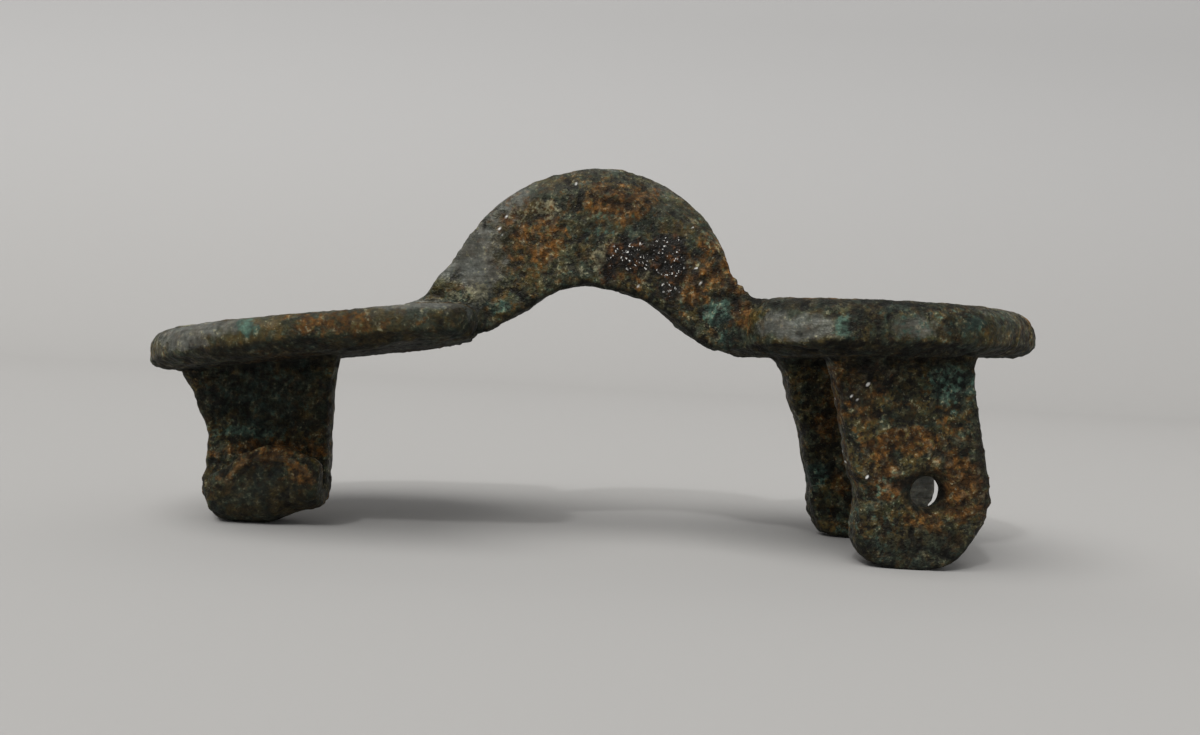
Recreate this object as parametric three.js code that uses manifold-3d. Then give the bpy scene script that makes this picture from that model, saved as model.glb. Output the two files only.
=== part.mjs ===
// Cast bronze equal-armed bow brooch (fibula), an excavated piece whose pin is lost.
// Two plates with rounded outer ends are joined by a thick arched bow. The hinge plate carries two
// pierced lugs for the lost pin's axle, and the catch plate carries a catch whose lip folds up to hold
// the pin's point.
// Millimetres. +X runs along the brooch towards the hinge, +Z is up, and -Y is the side that the catch
// opens to. It stands as it rests on a table: on the two lugs and the lower corner of the catch.
// The origin is at the middle of its length and width, at the level of its feet.

import * as THREE from "three";
import { mergeVertices } from "three/addons/utils/BufferGeometryUtils.js";
import Module from "manifold-3d";

// Whole brooch
const overallLength = 51.1;

// Hinge plate, at +X
const hingePlateLength = 17.5;
const hingePlateWidth = 16.8;
const hingePlateTop = 14.33;
const hingePlateRise = 0.4;
const hingePlateInnerThickness = 3.2;
const hingePlateOuterThickness = 2.4;
const hingePlateEdgeRound = 1.5;
const hingePlateShoulder = 3.2;

// Catch plate, at -X, which droops towards its outer end
const catchPlateLength = 18.9;
const catchPlateWidth = 18;
const catchPlateTop = 11.76;
const catchPlateDroop = 8.2;
const catchPlateInnerThickness = 1.85;
const catchPlateOuterThickness = 2.1;
const catchPlateEdgeRound = 0.75;
const catchPlateShoulder = 8;

// Both plates
const undersideChamferWidth = 0.9;
const undersideChamferHeight = 0.7;
const plateDome = 0.2;
const rimUnevenness = 0.1;

// Bow, above
const bowHeight = 21.45;
const bowCrownX = 0.6;
const bowCatchSideRadius = 9.1;
const bowHingeSideRadius = 6.9;
const bowCatchLegSlope = 60;
const bowHingeLegSlope = 78;
const bowToeFillet = 3.2;
const bowHeelReach = 1.7;

// Bow, below
const bowCrownThickness = 6.3;
const bowHollowX = -0.2;
const bowHollowCatchRadius = 5;
const bowHollowHingeRadius = 7.8;
const bowHollowSlope = 44;
const bowTroughWidth = 4.2;
const bowTroughDepth = 0.8;

// Bow, across
const bowCatchEndWidth = 6.8;
const bowCrownWidth = 7.4;
const bowHingeEndWidth = 8.4;
const bowTopFacetWidth = 3.8;
const bowShoulderDepth = 1.9;

// Lugs
const lugThickness = 2.1;
const lugGap = 7;
const nearLugWidth = 7.4;
const farLugWidth = 8.05;
const nearLugFlare = 0.35;
const farLugFlare = 1.2;
const farLugOffset = 0.12;
const lugLean = 11.5;
const lugAxisSetback = 7.25;
const lugInnerRound = 2.3;
const lugOuterRound = 4.6;
const lugFootInner = 1.4;
const lugFootOuter = 0.3;
const lugEdgeRadius = 0.45;
const lugRootHeight = 2.5;
const pinHoleRadius = 0.95;
const pinHoleHeight = 4.15;
const pinHoleMouthRadius = 1.35;
const pinHoleMouthDepth = 0.6;

// Catch
const catchThickness = 1.8;
const catchSetback = 2.9;
const catchLength = 7.35;
const catchRootFlare = 1.8;
const catchRootHeight = 4.5;
const catchCornerRadius = 1.4;
const catchEdgeRadius = 0.35;
const catchFootFlat = 1.5;
const catchFootSink = 0.15;
const catchSoleSlope = 10.5;
const lipThickness = 1.4;
const lipGap = 1.4;
const lipHeight = 4.55;
const lipArch = 1.1;
const lipInset = 1.5;

// How deep one form is sunk in another where they are joined, and how far a cutter runs past a face
const rooting = 0.9;
const cutterReach = 1;

const radians = THREE.MathUtils.degToRad;
const mix = THREE.MathUtils.lerp;
const ease = THREE.MathUtils.smoothstep;
const clamp = THREE.MathUtils.clamp;

const wasm = await Module();
wasm.setup();

// A closed geometry as a solid that can be joined and cut.
function solid(geometry) {
  const bare = geometry.clone();
  for (const name of Object.keys(bare.attributes)) {
    if (name !== "position") bare.deleteAttribute(name);
  }
  const merged = mergeVertices(bare, 1e-4);
  const corners = merged.index.array;
  const triangles = [];
  for (let i = 0; i < corners.length; i += 3) {
    const [a, b, c] = corners.slice(i, i + 3);
    if (a !== b && b !== c && c !== a) triangles.push(a, b, c);
  }
  return new wasm.Manifold(
    new wasm.Mesh({
      numProp: 3,
      vertProperties: new Float32Array(merged.attributes.position.array),
      triVerts: new Uint32Array(triangles),
    }),
  );
}

// Moves each vertex of a geometry to where place() puts it.
function reshaped(geometry, place) {
  const position = geometry.attributes.position;
  const point = new THREE.Vector3();
  for (let i = 0; i < position.count; i++) {
    point.fromBufferAttribute(position, i);
    const [x, y, z] = place(point.x, point.y, point.z);
    position.setXYZ(i, x, y, z);
  }
  return geometry;
}

// Carries a section (u, v) along a way t from 0 to 1, where place(u, v, t) gives each point.
function swept(section, steps, place) {
  const straight = new THREE.ExtrudeGeometry(new THREE.Shape(section), {
    depth: 1,
    steps,
    bevelEnabled: false,
  });
  return solid(reshaped(straight, place));
}

// The same closed outline with more points on its long sides.
function divided(outline, longest) {
  return outline.flatMap((from, i) => {
    const to = outline[(i + 1) % outline.length];
    const pieces = Math.max(1, Math.ceil(from.distanceTo(to) / longest));
    return Array.from({ length: pieces }, (_, k) =>
      from.clone().lerp(to, k / pieces),
    );
  });
}

// Points on an arc about a centre, from one angle to another.
function arc(centreU, centreV, radius, from, to, pieces) {
  return Array.from({ length: pieces + 1 }, (_, i) => {
    const angle = mix(from, to, i / pieces);
    return new THREE.Vector2(
      centreU + radius * Math.cos(angle),
      centreV + radius * Math.sin(angle),
    );
  });
}

// Where the plates lie, from the overall length
const hingePlateX = (overallLength - hingePlateLength) / 2;
const catchPlateX = (catchPlateLength - overallLength) / 2;
const hingePlateInnerEnd = hingePlateX - hingePlateLength / 2;
const catchPlateInnerEnd = catchPlateX + catchPlateLength / 2;

const hingeTopAt = (x) =>
  hingePlateTop + (x - hingePlateX) * Math.tan(radians(hingePlateRise));
function hingeBottomAt(x) {
  const share = (x - hingePlateInnerEnd) / hingePlateLength;
  return (
    hingeTopAt(x) -
    mix(hingePlateInnerThickness, hingePlateOuterThickness, share)
  );
}
const catchTopAt = (x) =>
  catchPlateTop + (x - catchPlateX) * Math.tan(radians(catchPlateDroop));
function catchBottomAt(x) {
  const share = (catchPlateInnerEnd - x) / catchPlateLength;
  return (
    catchTopAt(x) -
    mix(catchPlateInnerThickness, catchPlateOuterThickness, share)
  );
}

// A plate: a turned profile with a chamfer below and a rounded upper edge. Its outer half is elliptical
// and its inner half, on the side of the bow, has squarer shoulders. The chamfer is half as large at the
// two ends, and the outline is slightly uneven, as on a casting dressed by hand.
function plate({
  x,
  length,
  width,
  shoulder,
  innerSide,
  edgeRound,
  thickness,
  bottomAt,
  topAt,
}) {
  const halfWidth = width / 2;
  const chamferShare = undersideChamferHeight / thickness;
  const roundShare = Math.min(0.5, edgeRound / thickness);
  const pieces = 5;
  const profile = [
    new THREE.Vector2(0, 0),
    new THREE.Vector2(halfWidth / 2, 0),
    new THREE.Vector2(halfWidth - undersideChamferWidth, 0),
    new THREE.Vector2(halfWidth, chamferShare),
  ];
  for (let i = 0; i <= pieces; i++) {
    const turn = (i / pieces) * (Math.PI / 2);
    const inward = edgeRound * (1 - Math.cos(turn));
    const rise = 1 - roundShare * (1 - Math.sin(turn));
    profile.push(new THREE.Vector2(halfWidth - inward, rise));
  }
  profile.push(
    new THREE.Vector2(halfWidth / 2, 1 + (plateDome * 0.75) / thickness),
    new THREE.Vector2(0, 1 + plateDome / thickness),
  );
  const turned = new THREE.LatheGeometry(profile, 72).rotateX(Math.PI / 2);
  return solid(
    reshaped(turned, (u, v, share) => {
      const reach = Math.hypot(u, v) / halfWidth;
      const angle = Math.atan2(v, u);
      const power = Math.cos(angle) * innerSide > 0 ? shoulder : 2;
      const along = Math.abs(Math.cos(angle)) / (length / 2);
      const across = Math.abs(Math.sin(angle)) / halfWidth;
      const outline = (along ** power + across ** power) ** (-1 / power);
      const wobble =
        Math.sin(3 * angle + 0.6) +
        0.6 * Math.sin(5 * angle + 2.1) +
        0.4 * Math.sin(9 * angle + 4);
      const dressed = 1 - Math.cos(angle) ** 2 / 2;
      const chamfered = share === 0 && reach > 0.6;
      const spread = chamfered ? 1 - (1 - reach) * dressed : reach;
      const height = share > chamferShare + 0.01 ? share : share * dressed;
      const radius = spread * (outline + reach * rimUnevenness * wobble);
      const alongX = x + radius * Math.cos(angle);
      return [
        alongX,
        radius * Math.sin(angle),
        mix(bottomAt(alongX), topAt(alongX), height),
      ];
    }),
  );
}

// The bow's upper line seen from the side, as its half on the catch side and its half on the hinge side.
// It rises from the catch plate by a fillet and a straight leg, rounds the crown by an arc on each side,
// and ends a little way in over the hinge plate.
function bowUpperLine() {
  const catchTurn = radians(90 + bowCatchLegSlope);
  const catchMiddle = bowHeight - bowCatchSideRadius;
  const legX = bowCrownX + bowCatchSideRadius * Math.cos(catchTurn);
  const legZ = catchMiddle + bowCatchSideRadius * Math.sin(catchTurn);
  const slope = radians(bowCatchLegSlope);
  const plateSlope = Math.tan(radians(catchPlateDroop));
  const legLength =
    (legZ - catchTopAt(legX)) /
    (Math.sin(slope) - Math.cos(slope) * plateSlope);
  const footX = legX - legLength * Math.cos(slope);
  const toeX = footX - bowToeFillet;
  const catchHalf = new THREE.Path()
    .moveTo(toeX, catchTopAt(toeX))
    .quadraticCurveTo(
      footX,
      catchTopAt(footX) + plateDome,
      footX + (bowToeFillet / 2) * Math.cos(slope),
      catchTopAt(footX) + (bowToeFillet / 2) * Math.sin(slope),
    )
    .lineTo(legX, legZ)
    .absarc(bowCrownX, catchMiddle, bowCatchSideRadius, catchTurn, Math.PI / 2, true);

  const hingeTurn = radians(90 - bowHingeLegSlope);
  const hingeMiddle = bowHeight - bowHingeSideRadius;
  const heelX = bowCrownX + bowHingeSideRadius * Math.cos(hingeTurn);
  const heelZ = hingeMiddle + bowHingeSideRadius * Math.sin(hingeTurn);
  const endX = hingePlateInnerEnd + bowHeelReach;
  const hingeHalf = new THREE.Path()
    .absarc(bowCrownX, hingeMiddle, bowHingeSideRadius, Math.PI / 2, hingeTurn, true)
    .quadraticCurveTo(
      heelX + (heelZ - hingeTopAt(heelX)) / Math.tan(radians(bowHingeLegSlope)),
      hingeTopAt(heelX) + plateDome,
      endX,
      hingeTopAt(endX) - rooting / 3,
    );
  return { catchHalf, hingeHalf, toeX, endX };
}

// The bow's lower line, in the same two halves.
function bowLowerLine(toeX, endX) {
  const turn = radians(bowHollowSlope);
  const crownZ = bowHeight - bowCrownThickness;
  const catchX = bowHollowX - bowHollowCatchRadius * Math.sin(turn);
  const catchZ = crownZ - bowHollowCatchRadius * (1 - Math.cos(turn));
  const startX = mix(toeX, catchPlateInnerEnd, 0.4);
  const bendZ = catchBottomAt(catchPlateInnerEnd) + rooting;
  const catchHalf = new THREE.Path()
    .moveTo(startX, catchBottomAt(startX) + rooting / 4)
    .quadraticCurveTo(
      catchX - (catchZ - bendZ) / Math.tan(turn),
      bendZ,
      catchX,
      catchZ,
    )
    .absarc(
      bowHollowX,
      crownZ - bowHollowCatchRadius,
      bowHollowCatchRadius,
      Math.PI / 2 + turn,
      Math.PI / 2,
      true,
    );

  const hingeX = bowHollowX + bowHollowHingeRadius * Math.sin(turn);
  const hingeZ = crownZ - bowHollowHingeRadius * (1 - Math.cos(turn));
  const footZ = hingeBottomAt(hingePlateInnerEnd) + rooting / 3;
  const hingeHalf = new THREE.Path()
    .absarc(
      bowHollowX,
      crownZ - bowHollowHingeRadius,
      bowHollowHingeRadius,
      Math.PI / 2,
      Math.PI / 2 - turn,
      true,
    )
    .quadraticCurveTo(
      hingeX + (hingeZ - footZ) / Math.tan(turn),
      footZ,
      endX,
      hingeBottomAt(endX) + rooting / 4,
    );
  return { catchHalf, hingeHalf };
}

// The bow: sides that rise to a sloping shoulder facet, a narrow top facet, and a shallow trough below.
// In the section, u is the share of the half width. v is -1 to 0 in the trough, 0 to 1 up the side, and
// 1 to 2 up the shoulder.
function bow() {
  const halfSteps = 22;
  const steps = halfSteps * 2;
  const upper = bowUpperLine();
  const lower = bowLowerLine(upper.toeX, upper.endX);
  const points = ({ catchHalf, hingeHalf }) => [
    ...catchHalf.getSpacedPoints(halfSteps),
    ...hingeHalf.getSpacedPoints(halfSteps).slice(1),
  ];
  const upperPoints = points(upper);
  const lowerPoints = points(lower);
  const trough = arc(0, 0, 1, Math.PI, 0, 6).map(
    (p) => new THREE.Vector2((p.x * bowTroughWidth) / bowCrownWidth, -p.y),
  );
  const side = [
    new THREE.Vector2(0.96, 0),
    new THREE.Vector2(1, 0.04),
    new THREE.Vector2(1.03, 0.5),
    new THREE.Vector2(1, 1),
    new THREE.Vector2(0.5, 2),
    new THREE.Vector2(0, 2.03),
  ];
  const mirrored = side
    .slice(0, -1)
    .reverse()
    .map((p) => new THREE.Vector2(-p.x, p.y));
  return swept([...trough, ...side, ...mirrored], steps, (u, v, t) => {
    const low = lowerPoints[Math.round(t * steps)];
    const high = upperPoints[Math.round(t * steps)];
    const depth = low.distanceTo(high);
    const catchSide = mix(bowCatchEndWidth, bowCrownWidth, ease(t, 0, 0.5));
    const width = mix(catchSide, bowHingeEndWidth, ease(t, 0.55, 1));
    const halfWidth = width / 2;
    const swell = Math.sin(Math.PI * clamp((t - 0.25) / 0.62, 0, 1) ** 1.15);
    const shoulder = Math.min(bowShoulderDepth * swell, depth / 2);
    const topHalf = mix(halfWidth - 0.35, bowTopFacetWidth / 2, swell);
    let rise = (depth - shoulder) * v;
    let across = u * halfWidth;
    if (v < 0) rise = -v * bowTroughDepth * Math.sin(Math.PI * t);
    if (v > 1) {
      rise = depth - shoulder * (2 - v);
      if (v < 2.01) across = Math.sign(u) * topHalf;
    }
    const up = high.clone().sub(low).normalize();
    return [low.x + up.x * rise, across, low.y + up.y * rise];
  });
}

// A rounded rectangle from -1 to 1 both ways, for a form with the given half sizes.
function roundedSection(halfU, halfV, cornerRadius) {
  const quarter = Math.PI / 2;
  const corners = [
    [1, 1],
    [-1, 1],
    [-1, -1],
    [1, -1],
  ];
  return corners.flatMap(([signU, signV], i) =>
    arc(
      signU * (halfU - cornerRadius),
      signV * (halfV - cornerRadius),
      cornerRadius,
      i * quarter,
      (i + 1) * quarter,
      3,
    ).map((p) => new THREE.Vector2(p.x / halfU, p.y / halfV)),
  );
}

// A hinge lug: a tongue that leans outwards towards its foot. The foot is flat, with a small round on the
// side of the bow and a large one on the outer side, and the root flares into the plate. The far lug is a
// little wider than the near one and stands a little closer to the bow.
function lug(width, middleY, rootFlare, offset) {
  const halfWidth = width / 2;
  const leanRate = Math.tan(radians(lugLean));
  const footX = overallLength / 2 - lugAxisSetback - offset;
  const rootX = footX - hingePlateTop * leanRate;
  const root = hingeBottomAt(rootX);
  const top = root + rooting;
  const section = roundedSection(halfWidth, lugThickness / 2, lugEdgeRadius);
  const steps = 28;
  const roundSteps = 12;
  const sideShare = (z, round) =>
    Math.sqrt(1 - Math.max(0, 1 - z / round) ** 2);
  return swept(section, steps, (u, v, t) => {
    const step = Math.round(t * steps);
    const turn = Math.min(1, step / roundSteps) * (Math.PI / 2);
    const z =
      step <= roundSteps
        ? lugOuterRound * (1 - Math.cos(turn))
        : mix(lugOuterRound, top, (step - roundSteps) / (steps - roundSteps));
    const round = u < 0 ? lugInnerRound : lugOuterRound;
    const foot = u < 0 ? lugFootInner : lugFootOuter;
    const reach = mix(foot, halfWidth, sideShare(z, round));
    const flare = rootFlare * ease(z, root - lugRootHeight - rootFlare, top) ** 2;
    const above = Math.max(0, z - pinHoleHeight);
    const lean = (-leanRate * above ** 2) / (above + 0.4);
    return [
      footX + lean + u * (reach + flare),
      middleY + v * (lugThickness / 2 + flare * 0.35),
      z,
    ];
  });
}

// The hole for the lost pin's axle, which goes through both lugs. Corrosion has worn its mouths wide on
// both faces of each lug.
function pinHole() {
  const innerFace = lugGap / 2;
  const outerFace = innerFace + lugThickness;
  const reach = outerFace + cutterReach;
  const x = overallLength / 2 - lugAxisSetback;
  const upper = [
    new THREE.Vector2(pinHoleMouthRadius, innerFace),
    new THREE.Vector2(pinHoleRadius, innerFace + pinHoleMouthDepth),
    new THREE.Vector2(pinHoleRadius, outerFace - pinHoleMouthDepth),
    new THREE.Vector2(pinHoleMouthRadius, outerFace),
    new THREE.Vector2(pinHoleMouthRadius, reach),
    new THREE.Vector2(0, reach),
  ];
  const lower = upper.map((p) => new THREE.Vector2(p.x, -p.y)).reverse();
  const turned = new THREE.LatheGeometry([...lower, ...upper], 20);
  return solid(turned.translate(x, 0, pinHoleHeight));
}

// The catch: a strip that leaves the plate, folds towards -Y and rises again as a lip with an arched top.
// Its sole slopes up from a small flat foot. In the section, u runs along X and v across the strip.
function catchAndLip() {
  const lipMiddle = -(catchThickness + lipThickness) / 2 - lipGap;
  const bendRadius = -lipMiddle / 2;
  const bendZ = bendRadius + (catchThickness + lipThickness) / 4 - catchFootSink;
  const heelX = -overallLength / 2 + catchSetback;
  const toeX = heelX + catchLength;
  const top = catchBottomAt(toeX) + rooting;
  const strip = new THREE.Path()
    .moveTo(0, top)
    .lineTo(0, bendZ)
    .absarc(-bendRadius, bendZ, bendRadius, 0, -Math.PI, true)
    .lineTo(lipMiddle, lipHeight);
  const lipEnd = lipThickness / strip.getLength() / 2;
  const section = roundedSection(catchLength / 2, catchThickness / 2, catchEdgeRadius);
  const solePitch = Math.tan(radians(catchSoleSlope));
  const footEnd = heelX + lipInset + catchCornerRadius + catchFootFlat;
  return swept(divided(section, 0.25), 40, (u, v, t) => {
    const centre = strip.getPoint(t);
    const tangent = strip.getTangent(t);
    const lipward = clamp(centre.x / lipMiddle, 0, 1);
    const rounding = clamp((t - 1 + lipEnd) / lipEnd, 0, 0.95);
    const half = mix(catchThickness, lipThickness, lipward) / 2;
    const offset = v * half * Math.sqrt(1 - rounding ** 2);
    const y = centre.x + tangent.y * offset;
    const height = Math.max(0, centre.y - tangent.x * offset);
    const belowCorner = Math.max(0, catchCornerRadius - height);
    const corner =
      catchCornerRadius - Math.sqrt(catchCornerRadius ** 2 - belowCorner ** 2);
    const rootward = (1 - lipward) * ease(height, top - catchRootHeight, top) ** 2;
    const left = heelX + corner + lipInset * lipward - catchRootFlare * rootward;
    const right = toeX + 0.3 * Math.max(lipward, rootward);
    const x = mix(left, right, (u + 1) / 2);
    const sole = Math.max(0, x - footEnd) * solePitch;
    const arch = lipward * lipArch * (u - 0.2) ** 2 * ease(height, bendZ, lipHeight);
    const rise = (catchBottomAt(x) + rooting - top) * ease(height, bendZ, top);
    const z = height + sole * (1 - height / top) + (1 - lipward) * rise - arch;
    return [x, y, z];
  });
}

// Every form is part of one casting, so they are joined into a single solid, with the origin at the
// middle of its length and width.
function brooch() {
  const hingePlate = plate({
    x: hingePlateX,
    length: hingePlateLength,
    width: hingePlateWidth,
    shoulder: hingePlateShoulder,
    innerSide: -1,
    edgeRound: hingePlateEdgeRound,
    thickness: (hingePlateInnerThickness + hingePlateOuterThickness) / 2,
    bottomAt: hingeBottomAt,
    topAt: hingeTopAt,
  });
  const catchPlate = plate({
    x: catchPlateX,
    length: catchPlateLength,
    width: catchPlateWidth,
    shoulder: catchPlateShoulder,
    innerSide: 1,
    edgeRound: catchPlateEdgeRound,
    thickness: (catchPlateInnerThickness + catchPlateOuterThickness) / 2,
    bottomAt: catchBottomAt,
    topAt: catchTopAt,
  });
  const lugMiddleY = (lugGap + lugThickness) / 2;
  const casting = hingePlate
    .add(catchPlate)
    .add(bow())
    .add(lug(nearLugWidth, -lugMiddleY, nearLugFlare, 0))
    .add(lug(farLugWidth, lugMiddleY, farLugFlare, farLugOffset))
    .add(catchAndLip())
    .subtract(pinHole());
  const { min, max } = casting.boundingBox();
  return casting.translate([-(min[0] + max[0]) / 2, -(min[1] + max[1]) / 2, 0]);
}

const { vertProperties, triVerts } = brooch().getMesh();
const geometry = new THREE.BufferGeometry()
  .setAttribute("position", new THREE.BufferAttribute(vertProperties, 3))
  .setIndex(new THREE.BufferAttribute(triVerts, 1));
geometry.computeVertexNormals();

const corrodedBronze = new THREE.MeshStandardMaterial({
  color: new THREE.Color(0.16, 0.16, 0.12),
  roughness: 0.6,
  metalness: 0.3,
  flatShading: true,
});
const body = new THREE.Mesh(geometry, corrodedBronze);
body.name = "brooch";

const part = new THREE.Group();
part.add(body);

export default part;
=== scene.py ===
import math

import bmesh
import bpy
import numpy as np
from mathutils import Matrix, Vector, noise


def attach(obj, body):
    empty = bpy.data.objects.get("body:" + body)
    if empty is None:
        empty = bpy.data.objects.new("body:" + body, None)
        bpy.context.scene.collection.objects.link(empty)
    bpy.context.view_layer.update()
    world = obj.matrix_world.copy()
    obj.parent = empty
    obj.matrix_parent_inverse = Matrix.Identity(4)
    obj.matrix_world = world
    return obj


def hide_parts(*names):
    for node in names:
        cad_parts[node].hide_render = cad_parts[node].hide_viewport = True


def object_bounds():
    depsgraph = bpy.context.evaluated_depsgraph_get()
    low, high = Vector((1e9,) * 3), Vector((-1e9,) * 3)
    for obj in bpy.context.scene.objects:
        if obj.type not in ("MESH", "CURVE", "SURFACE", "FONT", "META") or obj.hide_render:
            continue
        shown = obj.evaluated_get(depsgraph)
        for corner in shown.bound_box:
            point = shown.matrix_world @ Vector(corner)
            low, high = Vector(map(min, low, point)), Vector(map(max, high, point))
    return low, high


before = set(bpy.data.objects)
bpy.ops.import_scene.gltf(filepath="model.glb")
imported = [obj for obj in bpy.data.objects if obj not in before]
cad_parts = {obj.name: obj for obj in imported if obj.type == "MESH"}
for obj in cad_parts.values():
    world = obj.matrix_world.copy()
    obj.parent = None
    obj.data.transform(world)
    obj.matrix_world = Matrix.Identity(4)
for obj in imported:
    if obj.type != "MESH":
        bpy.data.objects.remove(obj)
cad_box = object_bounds()
scene = bpy.context.scene

MM = 0.001

# The photograph's camera. Its place and its sensor's width are in millimetres, its focal length and its
# principal point in pixels of the 1200 x 735 picture, and its clipping distances in metres.
IMAGE_WIDTH = 1200
IMAGE_HEIGHT = 735
CAMERA_PLACE = (-0.403, -56.91, 10.095)
CAMERA_ROLL = math.radians(3.14)
FOCAL_PIXELS = 951.9
PRINCIPAL = (585.0, 365.0)
SENSOR_WIDTH = 36.0
CLIP_NEAR = 1 * MM
CLIP_FAR = 10.0

# The casting's even mesh, in millimetres, and how it is smoothed
VOXEL = 0.172
MERGE_REACH = 0.001
EVENING = 0.6
UNDOING = 0.31
EDGE_ROUNDS = 4
NORMAL_ROUNDS = 2
CAVITY_ROUNDS = 10

# The thin edge that hangs down along the bow's near side, in millimetres. The bow's underside is a parabola.
SKIRT_DROP = 0.6
UNDERSIDE_CROWN = 15.1
UNDERSIDE_SAG = 0.075
SKIRT_FOOT = 10.5

# Places on the casting, in millimetres
RIM_LEVEL = 8.5
LIP_SIDE = -2.0
FAR_LUG_SIDE = 3.0
BORE_MIDDLE = (18.5, 4.15)

# Where a share starts and where it is full
FACING_CAMERA = (-0.05, 0.22)
ON_OUTLINE = (-0.4, 0.1)
FACING_UP = (0.25, 0.75)
FACING_DOWN = (-0.2, -0.7)
NOT_BEHIND = (0.45, 0.1)
NEAR_SIDE = (0.5, -3.2)
AT_LOWER_EDGE = (3.0, 0.2)
UNDER_BOW = (9.0, 6.0)
IN_NUDGE = (1.0, 0.35)
IN_PATCH = (1.6, 0.35)
IN_KNOB = (1.3, 0.2)
IN_PAINTED_GLEAM = (1.0, 0.3)
IN_PIT = (0.28, 0.55)
NEAR_BORE = (2.0, 1.2)
OFF_FLOOR = (0.0, 0.5)

# How strong some shares are, from 0 to 1. The far lug counts as seen where its pale share is over
# SEEN_THROUGH_HOLE.
# Painted light on upward faces, painted as pale bare metal
PAINTED_LIGHT_ON_TOP = 0.26
PAINTED_LIGHT_ON_TOP_WANDER = 0.2
# Painted shade on downward faces and in the mouth of the near lug's hole
PAINTED_SHADE_UNDERNEATH = 0.9
PAINTED_SHADE_IN_MOUTH = 0.95
RUST_ON_ARC = 0.8
SEEN_THROUGH_HOLE = 0.3
CRUST_ON_HIDDEN_SIDES = 0.35
EVEN_WHERE_WORN = 0.8
EVEN_AT_BORE = 0.75

# Heights of the relief, in millimetres
SWELL = 0.05
HAMMERING = 0.045
LUMPS = 0.05
GRAINS = 0.045
PITS = 0.11
LAYERS = 0.07
CRUST_STEP = 0.03
CRUST_LUMPS = 0.17
CRUST_HAMMERING = 0.05
RIM_STEP = 0.05
RUST_STEP = 0.045
TEAL_STEP = 0.03
LIP_RIDGE = 0.12
SKIN = 0.04
CAVITY_DEPTH = 0.12

# Small shifts of the cast form, in millimetres: middle, reach and shift
NUDGES = (
    ((-23.4, -0.5, 3.9), (1.6, 2.6, 3.3), (0.36, 0, 0)),
    ((-23.0, -1.0, 7.3), (2.0, 2.8, 2.3), (-0.42, 0, 0)),
    ((-15.2, -1.5, 0.3), (3.0, 4.0, 2.0), (0, 0, 0.48)),
    ((-21.4, -3.0, 4.3), (2.2, 1.6, 1.8), (0, 0, -0.6)),
    ((-15.4, -3.0, 4.5), (1.7, 1.6, 1.6), (0, 0, -0.4)),
    ((-11.4, -7.5, 9.8), (2.6, 3.0, 1.3), (0, 0, -0.32)),
    ((-6.9, -8.2, 12.2), (2.6, 4.2, 2.4), (0.8, 0, 0)),
    ((-6.9, 0, 11.6), (1.9, 4.5, 1.7), (-0.35, 0, 0)),
    ((-6.2, -3.2, 11.7), (1.3, 3.0, 1.4), (0, 0, -0.08)),
    ((-4.7, -3.4, 12.3), (1.5, 2.5, 1.2), (0, 0, 0.14)),
    ((-9.2, 0, 14.6), (1.8, 6.0, 1.8), (-0.24, 0, 0.1)),
    ((-6.9, 6.5, 12.0), (2.6, 6.0, 2.4), (-0.95, 0, 0.15)),
    ((14.2, 4.6, 9.2), (2.4, 2.8, 2.6), (-0.38, 0, 0)),
    ((14.2, 4.6, 2.2), (2.4, 2.8, 2.8), (0.4, 0, 0)),
    ((14.3, -4.6, 3.2), (2.4, 2.6, 2.6), (0.3, 0, 0)),
    ((18.2, -4.6, 4.15), (3.4, 2.6, 3.4), (0.42, 0, 0)),
    ((21.6, 4.6, 4.2), (2.6, 2.8, 3.0), (0.08, 0, 0)),
    ((21.8, 4.6, 2.2), (2.4, 2.8, 2.6), (0.27, 0, 0)),
)

# Soft patches of each kind of corrosion, of pale metal and of painted shade, where the photograph shows
# them: left, right, top and bottom in pixels of the photograph, and strength
RUST = (
    (298, 318, 314, 334, 0.7),
    (286, 420, 310, 336, 0.5),
    (418, 470, 340, 349, 0.8),
    (576, 660, 186, 226, 0.75),
    (540, 564, 214, 256, 0.7),
    (526, 562, 220, 272, 0.6),
    (588, 622, 196, 222, 0.9),
    (508, 540, 246, 280, 0.35),
    (668, 716, 272, 306, 0.85),
    (622, 648, 274, 292, 0.5),
    (729, 757, 300, 332, 0.8),
    (872, 940, 426, 456, 1.0),
    (866, 902, 440, 500, 0.95),
    (936, 978, 458, 518, 1.05),
    (905, 948, 510, 532, 0.7),
    (822, 848, 352, 440, 0.65),
    (838, 856, 440, 540, 0.35),
    (850, 878, 370, 430, 0.5),
    (936, 970, 400, 450, 0.35),
    (930, 950, 430, 470, 0.5),
    (810, 832, 410, 432, 1.0),
    (832, 876, 368, 412, 0.5),
    (830, 846, 470, 500, 0.6),
    (214, 322, 436, 464, 0.75),
    (284, 316, 464, 486, 0.8),
    (498, 560, 196, 280, 0.5),
    (684, 738, 236, 296, 0.6),
    (596, 640, 246, 284, 0.5),
    (218, 236, 452, 490, 0.3),
    (255, 300, 345, 375, 0.35),
    (880, 960, 350, 362, 0.4),
    (664, 700, 300, 332, 0.3),
    (726, 752, 274, 298, 0.7),
    (680, 696, 276, 294, 0.9),
)
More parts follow.
